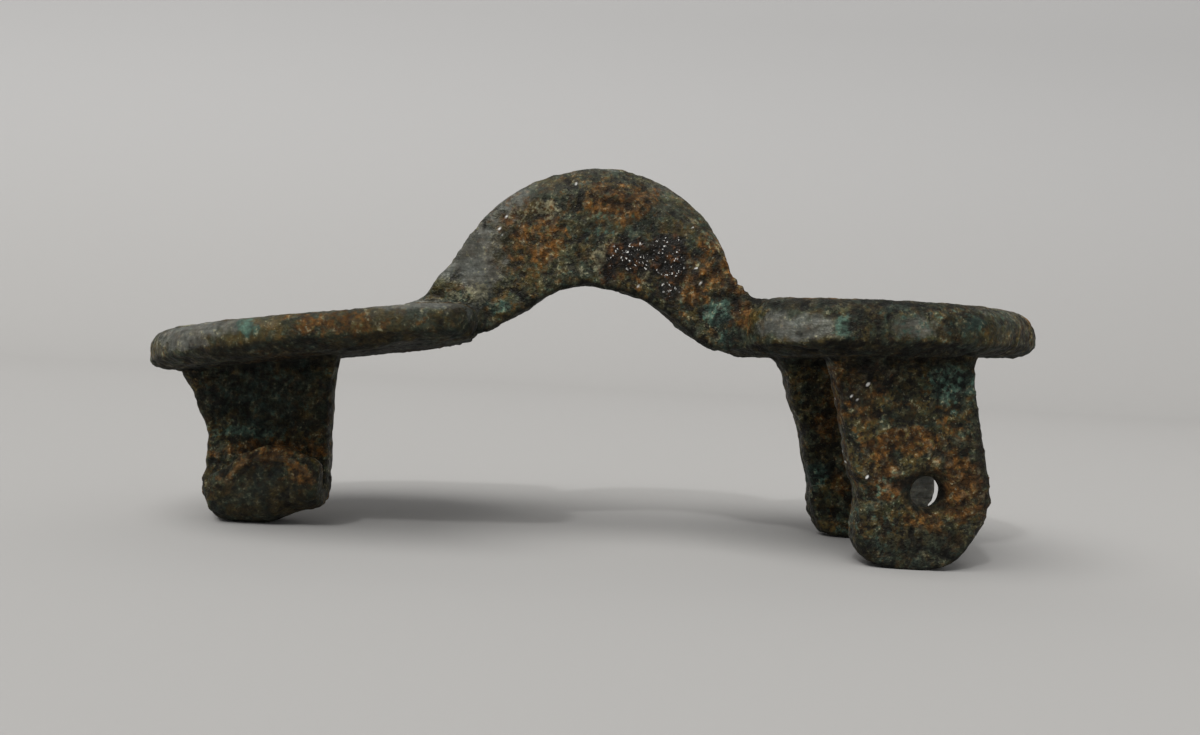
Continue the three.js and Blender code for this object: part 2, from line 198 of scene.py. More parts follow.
TEAL = (
    (238, 258, 318, 336, 0.8),
    (212, 284, 420, 440, 0.75),
    (238, 262, 386, 416, 0.5),
    (276, 310, 356, 420, 0.3),
    (706, 730, 300, 326, 1.0),
    (716, 734, 322, 350, 0.7),
    (485, 515, 300, 314, 0.7),
    (446, 470, 292, 304, 0.55),
    (834, 856, 314, 340, 0.9),
    (850, 1000, 302, 340, 0.28),
    (964, 988, 316, 332, 0.8),
    (926, 980, 362, 404, 0.9),
    (200, 320, 352, 440, 0.4),
    (804, 826, 462, 490, 1.1),
    (836, 860, 500, 540, 0.4),
    (562, 660, 206, 244, 0.3),
    (544, 604, 266, 284, 0.35),
    (640, 700, 284, 306, 0.3),
    (690, 730, 170, 260, 0.25),
    (165, 205, 300, 335, 0.25),
    (870, 900, 470, 500, 0.3),
    (206, 226, 500, 520, 0.4),
    (860, 900, 512, 560, 0.3),
)
# Pale, smooth metal: partly worn bare metal, partly painted light and sheen on tops and lit sides
PALE = (
    (440, 506, 216, 298, 0.75),
    (470, 540, 150, 230, 0.58),
    (750, 800, 312, 340, 0.7),
    (776, 840, 314, 346, 0.66),
    (892, 944, 316, 340, 0.56),
    (340, 478, 297, 311, 0.75),
    (146, 236, 300, 352, 0.82),
    (466, 471, 303, 322, 0.9),
    (474, 478, 303, 320, 0.7),
    (545, 700, 136, 172, 0.62),
    (690, 742, 160, 225, 0.5),
    (992, 1018, 314, 350, 0.3),
    (640, 708, 166, 204, 0.42),
)
CREAM = (
    (530, 560, 201, 216, 0.55),
    (590, 612, 246, 272, 0.7),
    (462, 490, 284, 302, 0.7),
    (446, 470, 292, 302, 0.6),
    (636, 650, 258, 284, 0.6),
    (552, 600, 260, 278, 0.25),
    (508, 530, 208, 222, 0.4),
)
# Painted shade, mostly under the plates, on the catch and on the lugs; a few patches only darken the tone
PAINTED_SHADE_PATCHES = (
    (200, 340, 345, 440, 0.9),
    (438, 490, 300, 342, 0.75),
    (840, 892, 302, 344, 0.75),
    (940, 985, 302, 350, 0.55),
    (736, 1016, 292, 312, 0.95),
    (290, 420, 306, 336, 0.4),
    (262, 440, 306, 318, 0.25),
    (640, 700, 284, 300, 0.15),
    (840, 980, 350, 372, 0.9),
    (850, 925, 358, 395, 0.5),
    (795, 850, 350, 480, 0.2),
    (845, 985, 525, 580, 0.85),
    (205, 325, 462, 528, 0.92),
    (960, 990, 400, 520, 0.4),
    (578, 658, 186, 226, 0.22),
    (700, 770, 325, 360, 0.5),
)
CRUST = (
    (608, 646, 236, 276, 1.1),
    (648, 682, 234, 262, 1.1),
    (656, 688, 250, 282, 1.0),
    (658, 682, 278, 302, 0.9),
    (690, 702, 264, 286, 0.6),
    (598, 622, 262, 284, 0.6),
    (218, 300, 350, 378, 0.4),
    (893, 953, 457, 519, 0.45),
    (972, 994, 404, 520, 0.5),
    (186, 214, 372, 436, 0.4),
    (752, 790, 292, 304, 0.4),
    (852, 900, 352, 400, 0.5),
)

# Where the skin is smooth and even
CALM = (
    (145, 300, 300, 352, 0.95),
    (280, 490, 290, 345, 0.75),
    (440, 512, 214, 300, 0.85),
    (470, 560, 140, 230, 0.75),
    (540, 720, 138, 176, 0.8),
    (690, 740, 160, 230, 0.65),
    (742, 848, 308, 346, 0.9),
    (884, 948, 314, 342, 0.8),
    (955, 1020, 306, 352, 0.6),
    (205, 330, 462, 528, 0.5),
    (205, 330, 350, 445, 0.35),
    (560, 650, 205, 240, 0.4),
    (500, 600, 240, 290, 0.3),
    (640, 720, 170, 240, 0.45),
)

# Painted light on the far lug, where it shows through the near lug's hole
PAINTED_LIGHT_THROUGH_HOLE = ((900, 946, 464, 512, 0.8),)

# The ragged line under each plate's rim, below which shadow is painted, in pixels of the photograph
CATCH_PLATE_RIM = (
    (140, 368), (182, 366), (214, 364), (236, 353), (265, 350), (310, 350), (335, 350),
    (345, 346), (382, 344), (404, 341), (446, 338), (468, 328), (486, 318),
)
HINGE_PLATE_RIM = (
    (728, 346), (781, 345), (812, 350), (824, 346), (842, 338), (858, 340), (888, 342),
    (919, 342), (950, 346), (974, 350), (1012, 353),
)
RIM_RAGGEDNESS = 3.5
RIM_BAND_START = (-1.0, 2.0)
RIM_BAND_END = (21, 17)

# Small knobs of crust on the outline: middle and radius in pixels of the photograph, height in millimetres
KNOBS = (
    (735, 281, 4, 0.14),
    (741, 287, 4, 0.16),
    (747, 293, 3, 0.12),
    (764, 300, 5, 0.1),
    (983, 412, 5, 0.14),
    (988, 432, 4, 0.1),
    (990, 454, 5, 0.16),
    (992, 478, 4, 0.12),
    (989, 502, 5, 0.14),
    (978, 522, 4, 0.1),
    (207, 418, 3, 0.06),
)

# Small painted glints, painted highlights: middle and radius in pixels of the photograph, and strength
PAINTED_GLEAMS = (
    (868, 384, 2, 1.0),
    (857, 401, 2, 0.9),
    (851, 396, 2, 0.6),
    (843, 450, 2, 1.0),
    (866, 477, 2, 0.9),
    (846, 462, 2, 0.6),
    (829, 372, 2, 0.6),
    (836, 398, 2, 0.5),
    (905, 522, 2, 0.5),
    (499, 229, 2, 0.7),
    (506, 216, 2, 0.7),
    (511, 222, 2, 0.6),
    (503, 236, 2, 0.5),
    (696, 268, 2, 0.9),
    (700, 284, 2, 0.7),
    (637, 286, 2, 0.8),
    (935, 487, 2, 0.8),
    (936, 494, 2, 0.7),
    (692, 229, 2, 0.6),
    (576, 184, 2, 0.5),
)

# The painted shade in the mouth of the near lug's hole, in pixels of the photograph
HOLE_MIDDLE = (924, 491)
IN_HOLE_RING = (25, 20.5)
HOLE_RING_WANDER = 5

# The low ridge that arches across the upper half of the lip's face, in pixels of the photograph. Its
# width is a share of its reach.
LIP_ARC_MIDDLE = (270, 487)
LIP_ARC_REACH = (43, 29)
LIP_ARC_UPPER = (6, -8)
LIP_ARC_WIDTH = 0.1

# Colours of the casting, as linear red, green and blue
OLIVE = ((0.024, 0.026, 0.010), (0.052, 0.052, 0.024))
BROWN_PATINA = (0.066, 0.046, 0.012)
GREY_GREEN_PATINA = (0.036, 0.052, 0.040)
BROWN_GRAIN = (0.085, 0.046, 0.011)
GREEN_GRAIN = (0.046, 0.060, 0.038)
BLACK_GRAIN = (0.007, 0.006, 0.004)
BARE_AND_LIT_BRONZE = ((0.118, 0.120, 0.107), (0.180, 0.183, 0.168))
RUST_BROWN = ((0.036, 0.016, 0.003), (0.178, 0.076, 0.016))
RUST_OCHRE = (0.130, 0.092, 0.026)
TEAL_GREEN = ((0.022, 0.046, 0.036), (0.085, 0.175, 0.135))
CREAM_SPECKS = (0.22, 0.205, 0.125)
CRUST_BLACK = ((0.004, 0.003, 0.002), (0.080, 0.032, 0.009))
# Painted shade
PAINTED_SHADE_COLOURS = ((0.007, 0.012, 0.011), (0.014, 0.012, 0.006))
CAVITY_BLACK = (0.005, 0.004, 0.003)
WORN_EDGE = (0.13, 0.12, 0.085)
# Painted highlights: the glints and the crust's sparks
PAINTED_GLINT_COLOUR = (0.26, 0.25, 0.17)
PAINTED_SPARK_COLOUR = (0.85, 0.84, 0.80)

# The pale floor, which curves up behind the brooch, in metres, and its tones on the floor and on the wall
FLOOR_REACH = 1.6
FLOOR_FRONT = -1.2
FLOOR_BEND = 0.35
BEND_RADIUS = 0.25
BEND_STEPS = 16
WALL_TOP = 1.4
FLOOR_TONES = ((0.445, 0.437, 0.425), (0.555, 0.55, 0.545))

# The lights, in metres and watts
LIT_PLACE = Vector((0, 0, 10 * MM))
KEY = {"place": (-0.75, -1.26, 2.64), "size": 3.0, "power": 75.0, "colour": (1.0, 0.99, 0.97)}
SPARKLE = {"place": (-0.5, -1.1, 1.1), "size": 0.10, "power": 5.0, "colour": (1.0, 1.0, 1.0)}
ROOM_COLOUR = (0.95, 0.96, 0.98, 1.0)
ROOM_STRENGTH = 0.35


def smoothstep(low, high, value):
    """0 at low, 1 at high, and a smooth rise between them, for an array."""
    share = np.clip((value - low) / (high - low), 0, 1)
    return share * share * (3 - 2 * share)


def cloud(places, size, seed):
    """Smooth noise from about -1 to 1 at each place, with lumps of the given size in millimetres."""
    shifted = places / size + np.array((seed * 7.31, seed * 3.77, seed * 5.13))
    return np.array([noise.noise(p) for p in shifted.tolist()])


def photo_place(places):
    """Where places on the casting, in millimetres, appear in the photograph, in pixels."""
    right = np.array((math.cos(CAMERA_ROLL), 0, math.sin(CAMERA_ROLL)))
    up = np.array((-math.sin(CAMERA_ROLL), 0, math.cos(CAMERA_ROLL)))
    away = places - np.array(CAMERA_PLACE)
    depth = away[:, 1]
    return (
        PRINCIPAL[0] + FOCAL_PIXELS * (away @ right) / depth,
        PRINCIPAL[1] - FOCAL_PIXELS * (away @ up) / depth,
    )


def remeshed_casting():
    """The CAD solid as one even mesh of small quads, in millimetres."""
    solid = bmesh.new()
    solid.from_mesh(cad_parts["brooch"].data)
    bmesh.ops.scale(solid, vec=(1 / MM,) * 3, verts=solid.verts)
    bmesh.ops.remove_doubles(solid, verts=solid.verts, dist=MERGE_REACH)
    mesh = bpy.data.meshes.new("merged")
    solid.to_mesh(mesh)
    solid.free()
    merged = bpy.data.objects.new("merged", mesh)
    scene.collection.objects.link(merged)
    even = merged.modifiers.new("even", "REMESH")
    even.mode = "VOXEL"
    even.voxel_size = VOXEL
    depsgraph = bpy.context.evaluated_depsgraph_get()
    result = bpy.data.meshes.new_from_object(merged.evaluated_get(depsgraph))
    bpy.data.objects.remove(merged)
    bpy.data.meshes.remove(mesh)
    return result


def places_of(mesh):
    """The places of a mesh's vertices, as rows of three."""
    places = np.empty(len(mesh.vertices) * 3)
    mesh.vertices.foreach_get("co", places)
    return places.reshape(-1, 3)


def set_places(mesh, places):
    """Puts a mesh's vertices at the given places."""
    mesh.vertices.foreach_set("co", places.astype(np.float32).ravel())
    mesh.update()


def normals_of(mesh):
    """The directions in which a mesh's vertices face, as rows of three."""
    normals = np.empty(len(mesh.vertices) * 3)
    mesh.vertex_normals.foreach_get("vector", normals)
    return normals.reshape(-1, 3)


def edges_of(mesh):
    """The two vertices of each of a mesh's edges."""
    edges = np.empty(len(mesh.edges) * 2, dtype=np.int64)
    mesh.edges.foreach_get("vertices", edges)
    return edges.reshape(-1, 2)


def neighbour_mean(values, edges):
    """For each vertex, the mean of its neighbours' values."""
    count = len(values)
    a, b = edges[:, 0], edges[:, 1]
    degree = np.bincount(a, minlength=count) + np.bincount(b, minlength=count)
    columns = values.reshape(count, -1)
    total = np.stack(
        [
            np.bincount(a, weights=column[b], minlength=count)
            + np.bincount(b, weights=column[a], minlength=count)
            for column in columns.T
        ],
        axis=1,
    )
    return (total / degree[:, None]).reshape(values.shape)


def smoothed(values, edges, rounds):
    """Values evened out over the mesh, with about half of the shrinking undone."""
    for _ in range(rounds):
        values = values + EVENING * (neighbour_mean(values, edges) - values)
        values = values - UNDOING * (neighbour_mean(values, edges) - values)
    return values


def nudged(places):
    """The cast form with its small shifts, which fit its outline to the photograph's."""
    moved = places.copy()
    for middle, reach, shift in NUDGES:
        distance = np.linalg.norm((places - middle) / np.array(reach), axis=1)
        moved += smoothstep(*IN_NUDGE, distance)[:, None] * np.array(shift)
    return moved


def bow_skirt(places):
    """How far the bow's lower edge hangs down along its near side, which hides its hollow underside."""
    across, height = places[:, 0], places[:, 2]
    underside = UNDERSIDE_CROWN - UNDERSIDE_SAG * across**2
    near = smoothstep(*NEAR_SIDE, places[:, 1])
    low = smoothstep(*AT_LOWER_EDGE, height - underside)
    return SKIRT_DROP * near * low * smoothstep(*UNDER_BOW, np.abs(across)) * (height > SKIRT_FOOT)


def patches(seen, spots, wander):
    """How strongly each vertex lies in the soft patches."""
    across, down = seen
    strength = np.zeros(len(across))
    for left, right, top, bottom, amount in spots:
        reach = np.hypot(
            (across - (left + right) / 2) / (right - left) * 2,
            (down - (top + bottom) / 2) / (bottom - top) * 2,
        )
        strength = np.maximum(strength, amount * smoothstep(*IN_PATCH, reach + wander))
    return strength


def dots(seen, marks, edge):
    """The height or strength of small round marks at each vertex."""
    across, down = seen
    strength = np.zeros(len(across))
    for middle, level, radius, amount in marks:
        reach = np.hypot(across - middle, down - level) / radius
        strength = np.maximum(strength, amount * smoothstep(*edge, reach))
    return strength


def shadow_under_rims(seen, ragged):
    """Where shadow is painted on the plates' rims, below a ragged line, from 0 to 1."""
    across, down = seen
    painted_shade = np.zeros(len(across))
    for line in (CATCH_PLATE_RIM, HINGE_PLATE_RIM):
        columns, levels = zip(*line)
        below = down - np.interp(across, columns, levels) + RIM_RAGGEDNESS * ragged
        within = (across > columns[0]) & (across < columns[-1])
        band = smoothstep(*RIM_BAND_START, below) * smoothstep(*RIM_BAND_END, below)
        painted_shade = np.maximum(painted_shade, band * within)
    return painted_shade


def lip_arc(seen):
    """The low ridge across the lip's face, from 0 to 1."""
    across, down = seen
    middle, level = LIP_ARC_MIDDLE
    reach = np.hypot((across - middle) / LIP_ARC_REACH[0], (down - level) / LIP_ARC_REACH[1])
    upper = smoothstep(*LIP_ARC_UPPER, down - level)
    return upper * np.exp(-(((reach - 1) / LIP_ARC_WIDTH) ** 2))


def corrosion(places, normals):
    """How strong each kind of corrosion, the pale metal, the painted shade and the painted glints are at
    each vertex, by name, and the knobs' height in millimetres.
    """
    seen = photo_place(places)
    sight = np.array(CAMERA_PLACE) - places
    towards = np.sum(normals * sight, axis=1) / np.linalg.norm(sight, axis=1)
    facing = smoothstep(*FACING_CAMERA, towards)
    upward = smoothstep(*FACING_UP, normals[:, 2])
    downward = smoothstep(*FACING_DOWN, normals[:, 2])
    wander = 0.45 * cloud(places, size=1.4, seed=1) + 0.3 * cloud(places, size=0.5, seed=2)
    ragged = cloud(places, size=0.9, seed=17) + 0.6 * cloud(places, size=0.4, seed=18)

    def kind(spots, size, seed, start, full, amount):
        """Patches where the photograph shows this kind, and clouds of it on the sides that it hides."""
        hidden = amount * smoothstep(start, full, cloud(places, size, seed) + 0.3 * wander)
        return np.maximum(facing * patches(seen, spots, wander), (1 - facing) * hidden)

    rust = kind(RUST, size=4.6, seed=11, start=0.08, full=0.42, amount=0.85)
    teal = kind(TEAL, size=3.4, seed=12, start=0.16, full=0.46, amount=0.8)
    pale = kind(PALE, size=5.2, seed=13, start=0.05, full=0.5, amount=0.55)
    cream = kind(CREAM, size=1.7, seed=14, start=0.34, full=0.55, amount=0.6)
    crust = kind(CRUST, size=3.1, seed=15, start=0.2, full=0.45, amount=0.5)
    painted_shade = kind(PAINTED_SHADE_PATCHES, size=6.1, seed=16, start=0.05, full=0.45, amount=0.5)
    calm = facing * patches(seen, CALM, 0.5 * wander)

    # Painted shadow under the plates' rims
    painted_rim_shadow = shadow_under_rims(seen, ragged) * (places[:, 2] > RIM_LEVEL) * smoothstep(*NOT_BEHIND, normals[:, 1])
    # Painted light on upward faces
    pale = np.maximum(pale, PAINTED_LIGHT_ON_TOP * upward + PAINTED_LIGHT_ON_TOP_WANDER * wander * upward)
    pale = pale * (1 - downward) * (1 - painted_rim_shadow)
    ring = np.hypot(seen[0] - HOLE_MIDDLE[0], seen[1] - HOLE_MIDDLE[1]) + HOLE_RING_WANDER * wander
    shaded_mouth = facing * smoothstep(*IN_HOLE_RING, ring)
    # Painted shade: on downward faces, under the rims, in the hole's mouth and in the patches
    painted_shade = np.maximum.reduce((painted_shade, PAINTED_SHADE_UNDERNEATH * downward, painted_rim_shadow, PAINTED_SHADE_IN_MOUTH * shaded_mouth))

    far = places[:, 1] > FAR_LUG_SIDE
    # On the far lug the pale share is only the painted light where it shows through the near lug's hole;
    # there the painted shade, crust and rust are taken away
    pale = np.where(far, facing * patches(seen, PAINTED_LIGHT_THROUGH_HOLE, wander), pale)
    through_hole = far & (pale > SEEN_THROUGH_HOLE)
    painted_shade, crust, rust = (np.where(through_hole, 0, share) for share in (painted_shade, crust, rust))
    arc = facing * lip_arc(seen) * (places[:, 1] < LIP_SIDE)
    return {
        "rust": np.maximum(rust, RUST_ON_ARC * arc),
        "teal": teal,
        "cream": cream,
        "pale": pale,
        "crust": crust,
        "painted_shade": painted_shade,
        "calm": calm,
        # Painted highlights on the near side
        "painted_gleam": facing * dots(seen, PAINTED_GLEAMS, IN_PAINTED_GLEAM) * (places[:, 1] < 0),
        "raised crust": crust * (CRUST_ON_HIDDEN_SIDES + (1 - CRUST_ON_HIDDEN_SIDES) * facing),
        "painted_rim_shadow": painted_rim_shadow,
        "downward": downward,
        "arc": arc,
        "knobs": dots(seen, KNOBS, IN_KNOB) * smoothstep(*ON_OUTLINE, towards),
    }


def relief(places, skin):
    """How far the surface stands out from the smooth casting, in millimetres."""
    worn = np.clip(np.maximum(skin["pale"], skin["calm"]) * (1 - skin["crust"]), 0, 1)
    rough = 1 - EVEN_WHERE_WORN * worn
    swell = cloud(places, size=4.2, seed=21)
    hammered = cloud(places, size=1.5, seed=22)
    lumps = cloud(places, size=0.62, seed=23)
    grains = cloud(places, size=0.34, seed=24)
    pits = smoothstep(*IN_PIT, cloud(places, size=0.9, seed=25))
    layers = cloud(places * np.array((0.35, 0.35, 1.6)), size=1.1, seed=26)

    height = SWELL * swell + HAMMERING * hammered
    height = height + rough * (LUMPS * lumps + GRAINS * grains - PITS * pits)
    height = height + LAYERS * skin["downward"] * layers
    crusted = CRUST_STEP + CRUST_LUMPS * np.abs(lumps + grains) - CRUST_HAMMERING * hammered
    height = height + skin["raised crust"] * crusted
    height = height - RIM_STEP * skin["painted_rim_shadow"]
    height = height + RUST_STEP * skin["rust"] * (1 + lumps + grains)
    height = height + TEAL_STEP * skin["teal"] * (1 + grains)
    height = height + LIP_RIDGE * skin["arc"] + skin["knobs"]
    bore = np.hypot(places[:, 0] - BORE_MIDDLE[0], places[:, 2] - BORE_MIDDLE[1])
    return height * (1 - EVEN_AT_BORE * smoothstep(*NEAR_BORE, bore)) + SKIN


def corroded_casting():
    """The brooch: the CAD solid with its edges worn and its surface pitted and crusted."""
    mesh = remeshed_casting()
    mesh.name = "corroded_brooch"
    edges = edges_of(mesh)
    places = smoothed(places_of(mesh), edges, EDGE_ROUNDS)
    places[:, 2] -= bow_skirt(places)
    places = nudged(places)
    set_places(mesh, places)
    normals = smoothed(normals_of(mesh), edges, NORMAL_ROUNDS)
    normals /= np.linalg.norm(normals, axis=1)[:, None]

    skin = corrosion(places, normals)
    height = relief(places, skin)
    cavity = 0.5 - (height - smoothed(height, edges, CAVITY_ROUNDS)) / CAVITY_DEPTH
    places = places + normals * (height * smoothstep(*OFF_FLOOR, places[:, 2]))[:, None]
    low, high = (np.array(corner) / MM for corner in cad_box)
    set_places(mesh, np.clip(places, low, high) * MM)

    def keep(name, *channels):
        """Puts three shares on the vertices, for the material to read."""
        values = np.ones((len(places), 4), dtype=np.float32)
        for i, channel in enumerate(channels):
            values[:, i] = np.clip(channel, 0, 1)
        attribute = mesh.color_attributes.new(name, "FLOAT_COLOR", "POINT")
        attribute.data.foreach_set("color", values.ravel())

    keep("stains", skin["rust"], skin["teal"], skin["cream"])
    keep("surface", skin["pale"], skin["crust"], cavity)
    # The painted shade, the calm share and the painted glints
    keep("depth", skin["painted_shade"], skin["calm"], skin["painted_gleam"])
    mesh.polygons.foreach_set("use_smooth", np.ones(len(mesh.polygons), dtype=bool))
    casting = bpy.data.objects.new("corroded_brooch", mesh)
    scene.collection.objects.link(casting)
    return casting


class Nodes:
    """A material's nodes, made and linked in one call each."""

    def __init__(self, name):
        self.material = bpy.data.materials.new(name)
        self.material.use_nodes = True
        self.tree = self.material.node_tree
        self.shader = self.tree.nodes["Principled BSDF"]

    def add(self, kind, settings=None, **inputs):
        """A new node with its settings, and its inputs given by name."""
        node = self.tree.nodes.new(kind)
        for name, value in (settings or {}).items():
            setattr(node, name, value)
        for name, value in inputs.items():
            self.put(node.inputs[name.replace("_", " ")], value)
        return node

    def put(self, socket, value):
        """Links or sets one input."""
        if isinstance(value, bpy.types.NodeSocket):
            self.tree.links.new(value, socket)
        else:
            socket.default_value = value

    def channels(self, name):
        """The three channels of one of the mesh's colour attributes."""
        colour = self.add("ShaderNodeAttribute", {"attribute_name": name}).outputs["Color"]
        return self.add("ShaderNodeSeparateColor", Color=colour).outputs

    def noise(self, coordinates, scale, detail=3.0, roughness=0.55, seed=0.0):
        """Noise from 0 to 1. Each seed gives a pattern of its own."""
        node = self.add(
            "ShaderNodeTexNoise",
            {"noise_dimensions": "4D"},
            Vector=coordinates,
            W=seed,
            Scale=scale,
            Detail=detail,
            Roughness=roughness,
        )
        return node.outputs[0]

    def math(self, operation, a, b=0.5, c=0.5):
        """One step of arithmetic."""
        node = self.tree.nodes.new("ShaderNodeMath")
        node.operation = operation
        for socket, value in zip(node.inputs, (a, b, c)):
            self.put(socket, value)
        return node.outputs[0]

    def times(self, a, b):
        """The product of two values."""
        return self.math("MULTIPLY", a, b)

    def line(self, value, slope, start):
        """The value times slope, plus start."""
        return self.math("MULTIPLY_ADD", value, slope, start)

    def ramp(self, value, low, high, to_low=0.0, to_high=1.0):
        """A smooth rise from low to high."""
        node = self.add(
            "ShaderNodeMapRange",
            {"interpolation_type": "SMOOTHSTEP"},
            Value=value,
            From_Min=low,
            From_Max=high,
            To_Min=to_low,
            To_Max=to_high,
        )
        return node.outputs["Result"]

    def mix(self, share, a, b, blend="MIX"):
        """Colour a, with the given share of colour b."""
        node = self.tree.nodes.new("ShaderNodeMix")
        node.data_type = "RGBA"
        node.blend_type = blend
        for socket, value in zip((node.inputs[0], node.inputs[6], node.inputs[7]), (share, a, b)):
            self.put(socket, (*value, 1.0) if isinstance(value, tuple) else value)
        return node.outputs[2]

    def broken(self, mask, texture, softness, amount):
        """A mask whose edge is broken up by a texture."""
        shifted = self.line(self.math("SUBTRACT", texture, 0.5), amount, mask)
        return self.ramp(shifted, 0.45 - softness, 0.45 + softness)


def corroded_bronze():
    """Olive patina with worn metal, partly painted paler as painted light, rust, teal, cream specks and
    crust, with painted shade, darker hollows and painted glints and sparks.
    """
    n = Nodes("corroded_bronze")
    coordinates = n.add("ShaderNodeTexCoord").outputs["Object"]
    millimetres = n.add("ShaderNodeMapping", Vector=coordinates, Scale=(1 / MM,) * 3).outputs[0]
    rust, teal, cream = n.channels("stains")
    pale, crust, cavity = n.channels("surface")
    # The painted shade, the calm share and the painted glints
    painted_shade, calm, painted_gleam = n.channels("depth")

    broad = n.noise(millimetres, 0.35)
    tint = n.noise(millimetres, 0.8, seed=41.0)
    medium = n.noise(millimetres, 1.1, detail=4.0, roughness=0.6, seed=3.0)
    blotch = n.noise(millimetres, 1.5, roughness=0.6, seed=43.0)
    mottle = n.noise(millimetres, 2.1, detail=4.0, roughness=0.62, seed=7.0)
    brown_grains = n.noise(millimetres, 2.4, detail=4.0, roughness=0.6, seed=23.0)
    green_grains = n.noise(millimetres, 3.0, roughness=0.6, seed=29.0)
    black_grains = n.noise(millimetres, 3.4, roughness=0.6, seed=31.0)
    fine = n.noise(millimetres, 4.4, roughness=0.62, seed=11.0)
    speck = n.noise(millimetres, 7.5, detail=2.0, roughness=0.5, seed=17.0)
    streaked = n.add("ShaderNodeMapping", Vector=millimetres, Rotation=(0, 0.7, 0), Scale=(0.6, 1.5, 5.0))
    scratches = n.noise(streaked.outputs[0], 1.6, roughness=0.6, seed=37.0)

    pale_share = n.broken(pale, mottle, 0.24, 1.1)
    rust_share = n.broken(rust, brown_grains, 0.26, 1.9)
    teal_share = n.broken(teal, green_grains, 0.26, 1.9)
    cream_share = n.broken(cream, fine, 0.16, 3.4)
    crust_share = n.broken(crust, mottle, 0.2, 1.1)
    grainy = n.line(calm, -0.75, 1.0)
    uneven = n.line(n.math("MAXIMUM", pale_share, calm), -0.82, 1.0)
    open_skin = n.math("SUBTRACT", 1.0, n.math("MAXIMUM", crust_share, painted_shade))

    # The patina
    colour = n.mix(n.ramp(broad, 0.4, 0.62), *OLIVE)
    colour = n.mix(n.ramp(medium, 0.42, 0.62), colour, BROWN_PATINA)
    colour = n.mix(n.ramp(tint, 0.5, 0.62, 0.0, 0.55), colour, GREY_GREEN_PATINA)
    colour = n.mix(n.times(n.ramp(brown_grains, 0.5, 0.64), grainy), colour, BROWN_GRAIN)
    colour = n.mix(n.times(n.ramp(green_grains, 0.53, 0.66), grainy), colour, GREEN_GRAIN)

    # The stains on it, and the pale worn metal, which is partly painted light and sheen
    bare_and_lit = n.mix(n.ramp(scratches, 0.36, 0.66), *BARE_AND_LIT_BRONZE)
    colour = n.mix(pale_share, colour, n.mix(0.35, bare_and_lit, colour))
    rust_colour = n.mix(n.ramp(mottle, 0.38, 0.62), *RUST_BROWN)
    rust_colour = n.mix(n.ramp(green_grains, 0.52, 0.66), rust_colour, RUST_OCHRE)
    colour = n.mix(n.times(rust_share, 0.88), colour, rust_colour)
    teal_colour = n.mix(n.ramp(medium, 0.4, 0.65), *TEAL_GREEN)
    colour = n.mix(n.times(teal_share, 0.8), colour, teal_colour)
    colour = n.mix(n.times(cream_share, 0.6), colour, CREAM_SPECKS)
    crust_colour = n.mix(n.ramp(mottle, 0.5, 0.66), *CRUST_BLACK)
    colour = n.mix(n.times(crust_share, 0.96), colour, crust_colour)

    # The painted shade, the darker hollows, the black grains and the worn edges
    painted_shade_colour = n.mix(n.ramp(medium, 0.4, 0.62), *PAINTED_SHADE_COLOURS)
    colour = n.mix(n.times(painted_shade, 0.8), colour, painted_shade_colour)
    hollow = n.times(n.ramp(cavity, 0.5, 0.75), n.line(rust_share, -0.35, 1.0))
    colour = n.mix(n.times(hollow, 0.82), colour, CAVITY_BLACK)
    black = n.times(n.ramp(black_grains, 0.525, 0.59), uneven)
    black = n.times(black, n.line(rust_share, -0.55, 1.0))
    colour = n.mix(n.times(black, 0.85), colour, BLACK_GRAIN)
    raised = n.times(n.ramp(cavity, 0.42, 0.15), open_skin)
    colour = n.mix(n.times(raised, 0.3), colour, WORN_EDGE)

    # The fine grain over all of it, and the painted glints and the crust's painted sparks
    grain = n.times(n.ramp(fine, 0.32, 0.68, 0.5, 1.5), n.ramp(blotch, 0.38, 0.62, 0.35, 1.75))
    shade = n.add("ShaderNodeCombineColor", Red=grain, Green=grain, Blue=grain).outputs[0]
    colour = n.mix(n.times(n.line(uneven, 0.74, 0.26), 0.9), colour, shade, "MULTIPLY")
    painted_glint = n.times(n.ramp(speck, 0.66, 0.72), n.times(uneven, open_skin))
    colour = n.mix(n.times(painted_glint, 0.5), colour, PAINTED_GLINT_COLOUR)
    painted_spark = n.times(n.ramp(speck, 0.615, 0.67), n.ramp(crust, 0.55, 0.8))
    painted_spark = n.math("MAXIMUM", painted_spark, n.ramp(painted_gleam, 0.15, 0.6))
    n.put(n.shader.inputs["Base Color"], n.mix(painted_spark, colour, PAINTED_SPARK_COLOUR))

    roughness = n.ramp(mottle, 0.35, 0.7, 0.42, 0.72)
    for share, change in (
        (pale_share, -0.12),
        (rust_share, 0.15),
        (crust_share, -0.15),
        (painted_shade, 0.25),
        (painted_glint, -0.25),
    ):
        roughness = n.line(share, change, roughness)
    n.put(n.shader.inputs["Roughness"], n.math("MAXIMUM", roughness, 0.16))
    n.put(n.shader.inputs["Specular IOR Level"], 0.2)
    n.put(n.shader.inputs["Metallic"], n.times(pale_share, 0.25))

    height = n.line(fine, 0.7, mottle)
    height = n.line(speck, 0.4, height)
    height = n.line(black_grains, -0.6, height)
    bump = n.add("ShaderNodeBump", Strength=1.0, Distance=0.22 * MM, Height=n.times(height, uneven))
    n.put(n.shader.inputs["Normal"], bump.outputs[0])
    return n.material


def pale_paper():
    """Matt paper, a little darker on the floor than on the wall."""
    n = Nodes("pale_paper")
    coordinates = n.add("ShaderNodeTexCoord").outputs["Object"]
    height = n.add("ShaderNodeSeparateXYZ", Vector=coordinates).outputs["Z"]
    n.put(n.shader.inputs["Base Color"], n.mix(n.ramp(height, 0.0, BEND_RADIUS), *FLOOR_TONES))
    n.put(n.shader.inputs["Roughness"], 0.9)
    n.put(n.shader.inputs["Specular IOR Level"], 0.1)
    return n.material


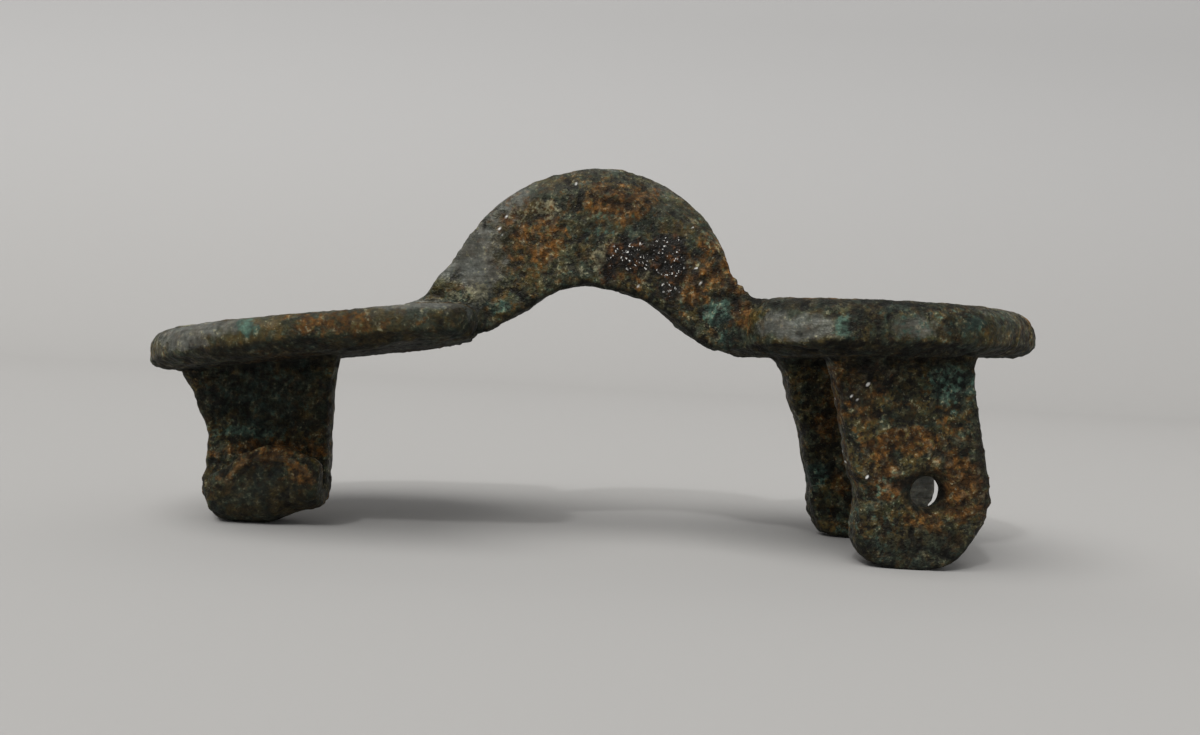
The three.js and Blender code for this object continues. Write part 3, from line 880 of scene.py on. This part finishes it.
def drawn_out(sheet, edge, shift):
    """Draws a flat stretch out from an edge of the sheet and gives back its far edge."""
    drawn = bmesh.ops.extrude_edge_only(sheet, edges=[edge])["geom"]
    ends = [item for item in drawn if isinstance(item, bmesh.types.BMVert)]
    bmesh.ops.translate(sheet, verts=ends, vec=shift)
    return sheet.edges.get(ends)


def backdrop():
    """The plain pale floor, which curves up behind the brooch."""
    sheet = bmesh.new()
    ends = [sheet.verts.new((x, FLOOR_FRONT, 0)) for x in (-FLOOR_REACH, FLOOR_REACH)]
    edge = sheet.edges.new(ends)

    edge = drawn_out(sheet, edge, (0, FLOOR_BEND - FLOOR_FRONT, 0))
    bend = bmesh.ops.spin(
        sheet,
        geom=[edge, *edge.verts],
        cent=(0, FLOOR_BEND, BEND_RADIUS),
        axis=(1, 0, 0),
        angle=math.pi / 2,
        steps=BEND_STEPS,
    )
    edge = next(item for item in bend["geom_last"] if isinstance(item, bmesh.types.BMEdge))
    drawn_out(sheet, edge, (0, 0, WALL_TOP - BEND_RADIUS))
    mesh = bpy.data.meshes.new("floor")
    sheet.to_mesh(mesh)
    sheet.free()
    mesh.polygons.foreach_set("use_smooth", [True] * len(mesh.polygons))
    mesh.materials.append(pale_paper())
    floor = bpy.data.objects.new("floor", mesh)
    scene.collection.objects.link(floor)
    return floor


def area_light(name, place, size, power, colour):
    """A round light that shines at the middle of the brooch."""
    data = bpy.data.lights.new(name, "AREA")
    data.shape = "DISK"
    data.size = size
    data.energy = power
    data.color = colour
    light = bpy.data.objects.new(name, data)
    light.location = place
    light.rotation_euler = (LIT_PLACE - light.location).to_track_quat("-Z", "Y").to_euler()
    scene.collection.objects.link(light)


def soft_room():
    """The even light from all round."""
    world = bpy.data.worlds.new("soft_room")
    world.use_nodes = True
    background = world.node_tree.nodes["Background"]
    background.inputs["Color"].default_value = ROOM_COLOUR
    background.inputs["Strength"].default_value = ROOM_STRENGTH
    scene.world = world


def photo_camera():
    """The camera of the photograph: level, close in front of the brooch and slightly rolled."""
    data = bpy.data.cameras.new("photo")
    data.sensor_width = SENSOR_WIDTH
    data.lens = FOCAL_PIXELS / IMAGE_WIDTH * SENSOR_WIDTH
    data.shift_x = (IMAGE_WIDTH / 2 - PRINCIPAL[0]) / IMAGE_WIDTH
    data.shift_y = (PRINCIPAL[1] - IMAGE_HEIGHT / 2) / IMAGE_WIDTH
    data.clip_start = CLIP_NEAR
    data.clip_end = CLIP_FAR
    camera = bpy.data.objects.new("photo", data)
    cosine, sine = math.cos(CAMERA_ROLL), math.sin(CAMERA_ROLL)
    turned = Matrix(((cosine, -sine, 0), (0, 0, -1), (sine, cosine, 0))).to_4x4()
    camera.matrix_world = Matrix.Translation(Vector(CAMERA_PLACE) * MM) @ turned
    scene.collection.objects.link(camera)
    scene.camera = camera


photo_camera()
brooch = corroded_casting()
brooch.data.materials.append(corroded_bronze())
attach(brooch, "root")
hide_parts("brooch")
backdrop()

area_light("key", **KEY)
area_light("sparkle", **SPARKLE)
soft_room()
scene.view_settings.view_transform = "Standard"
scene.view_settings.look = "None"
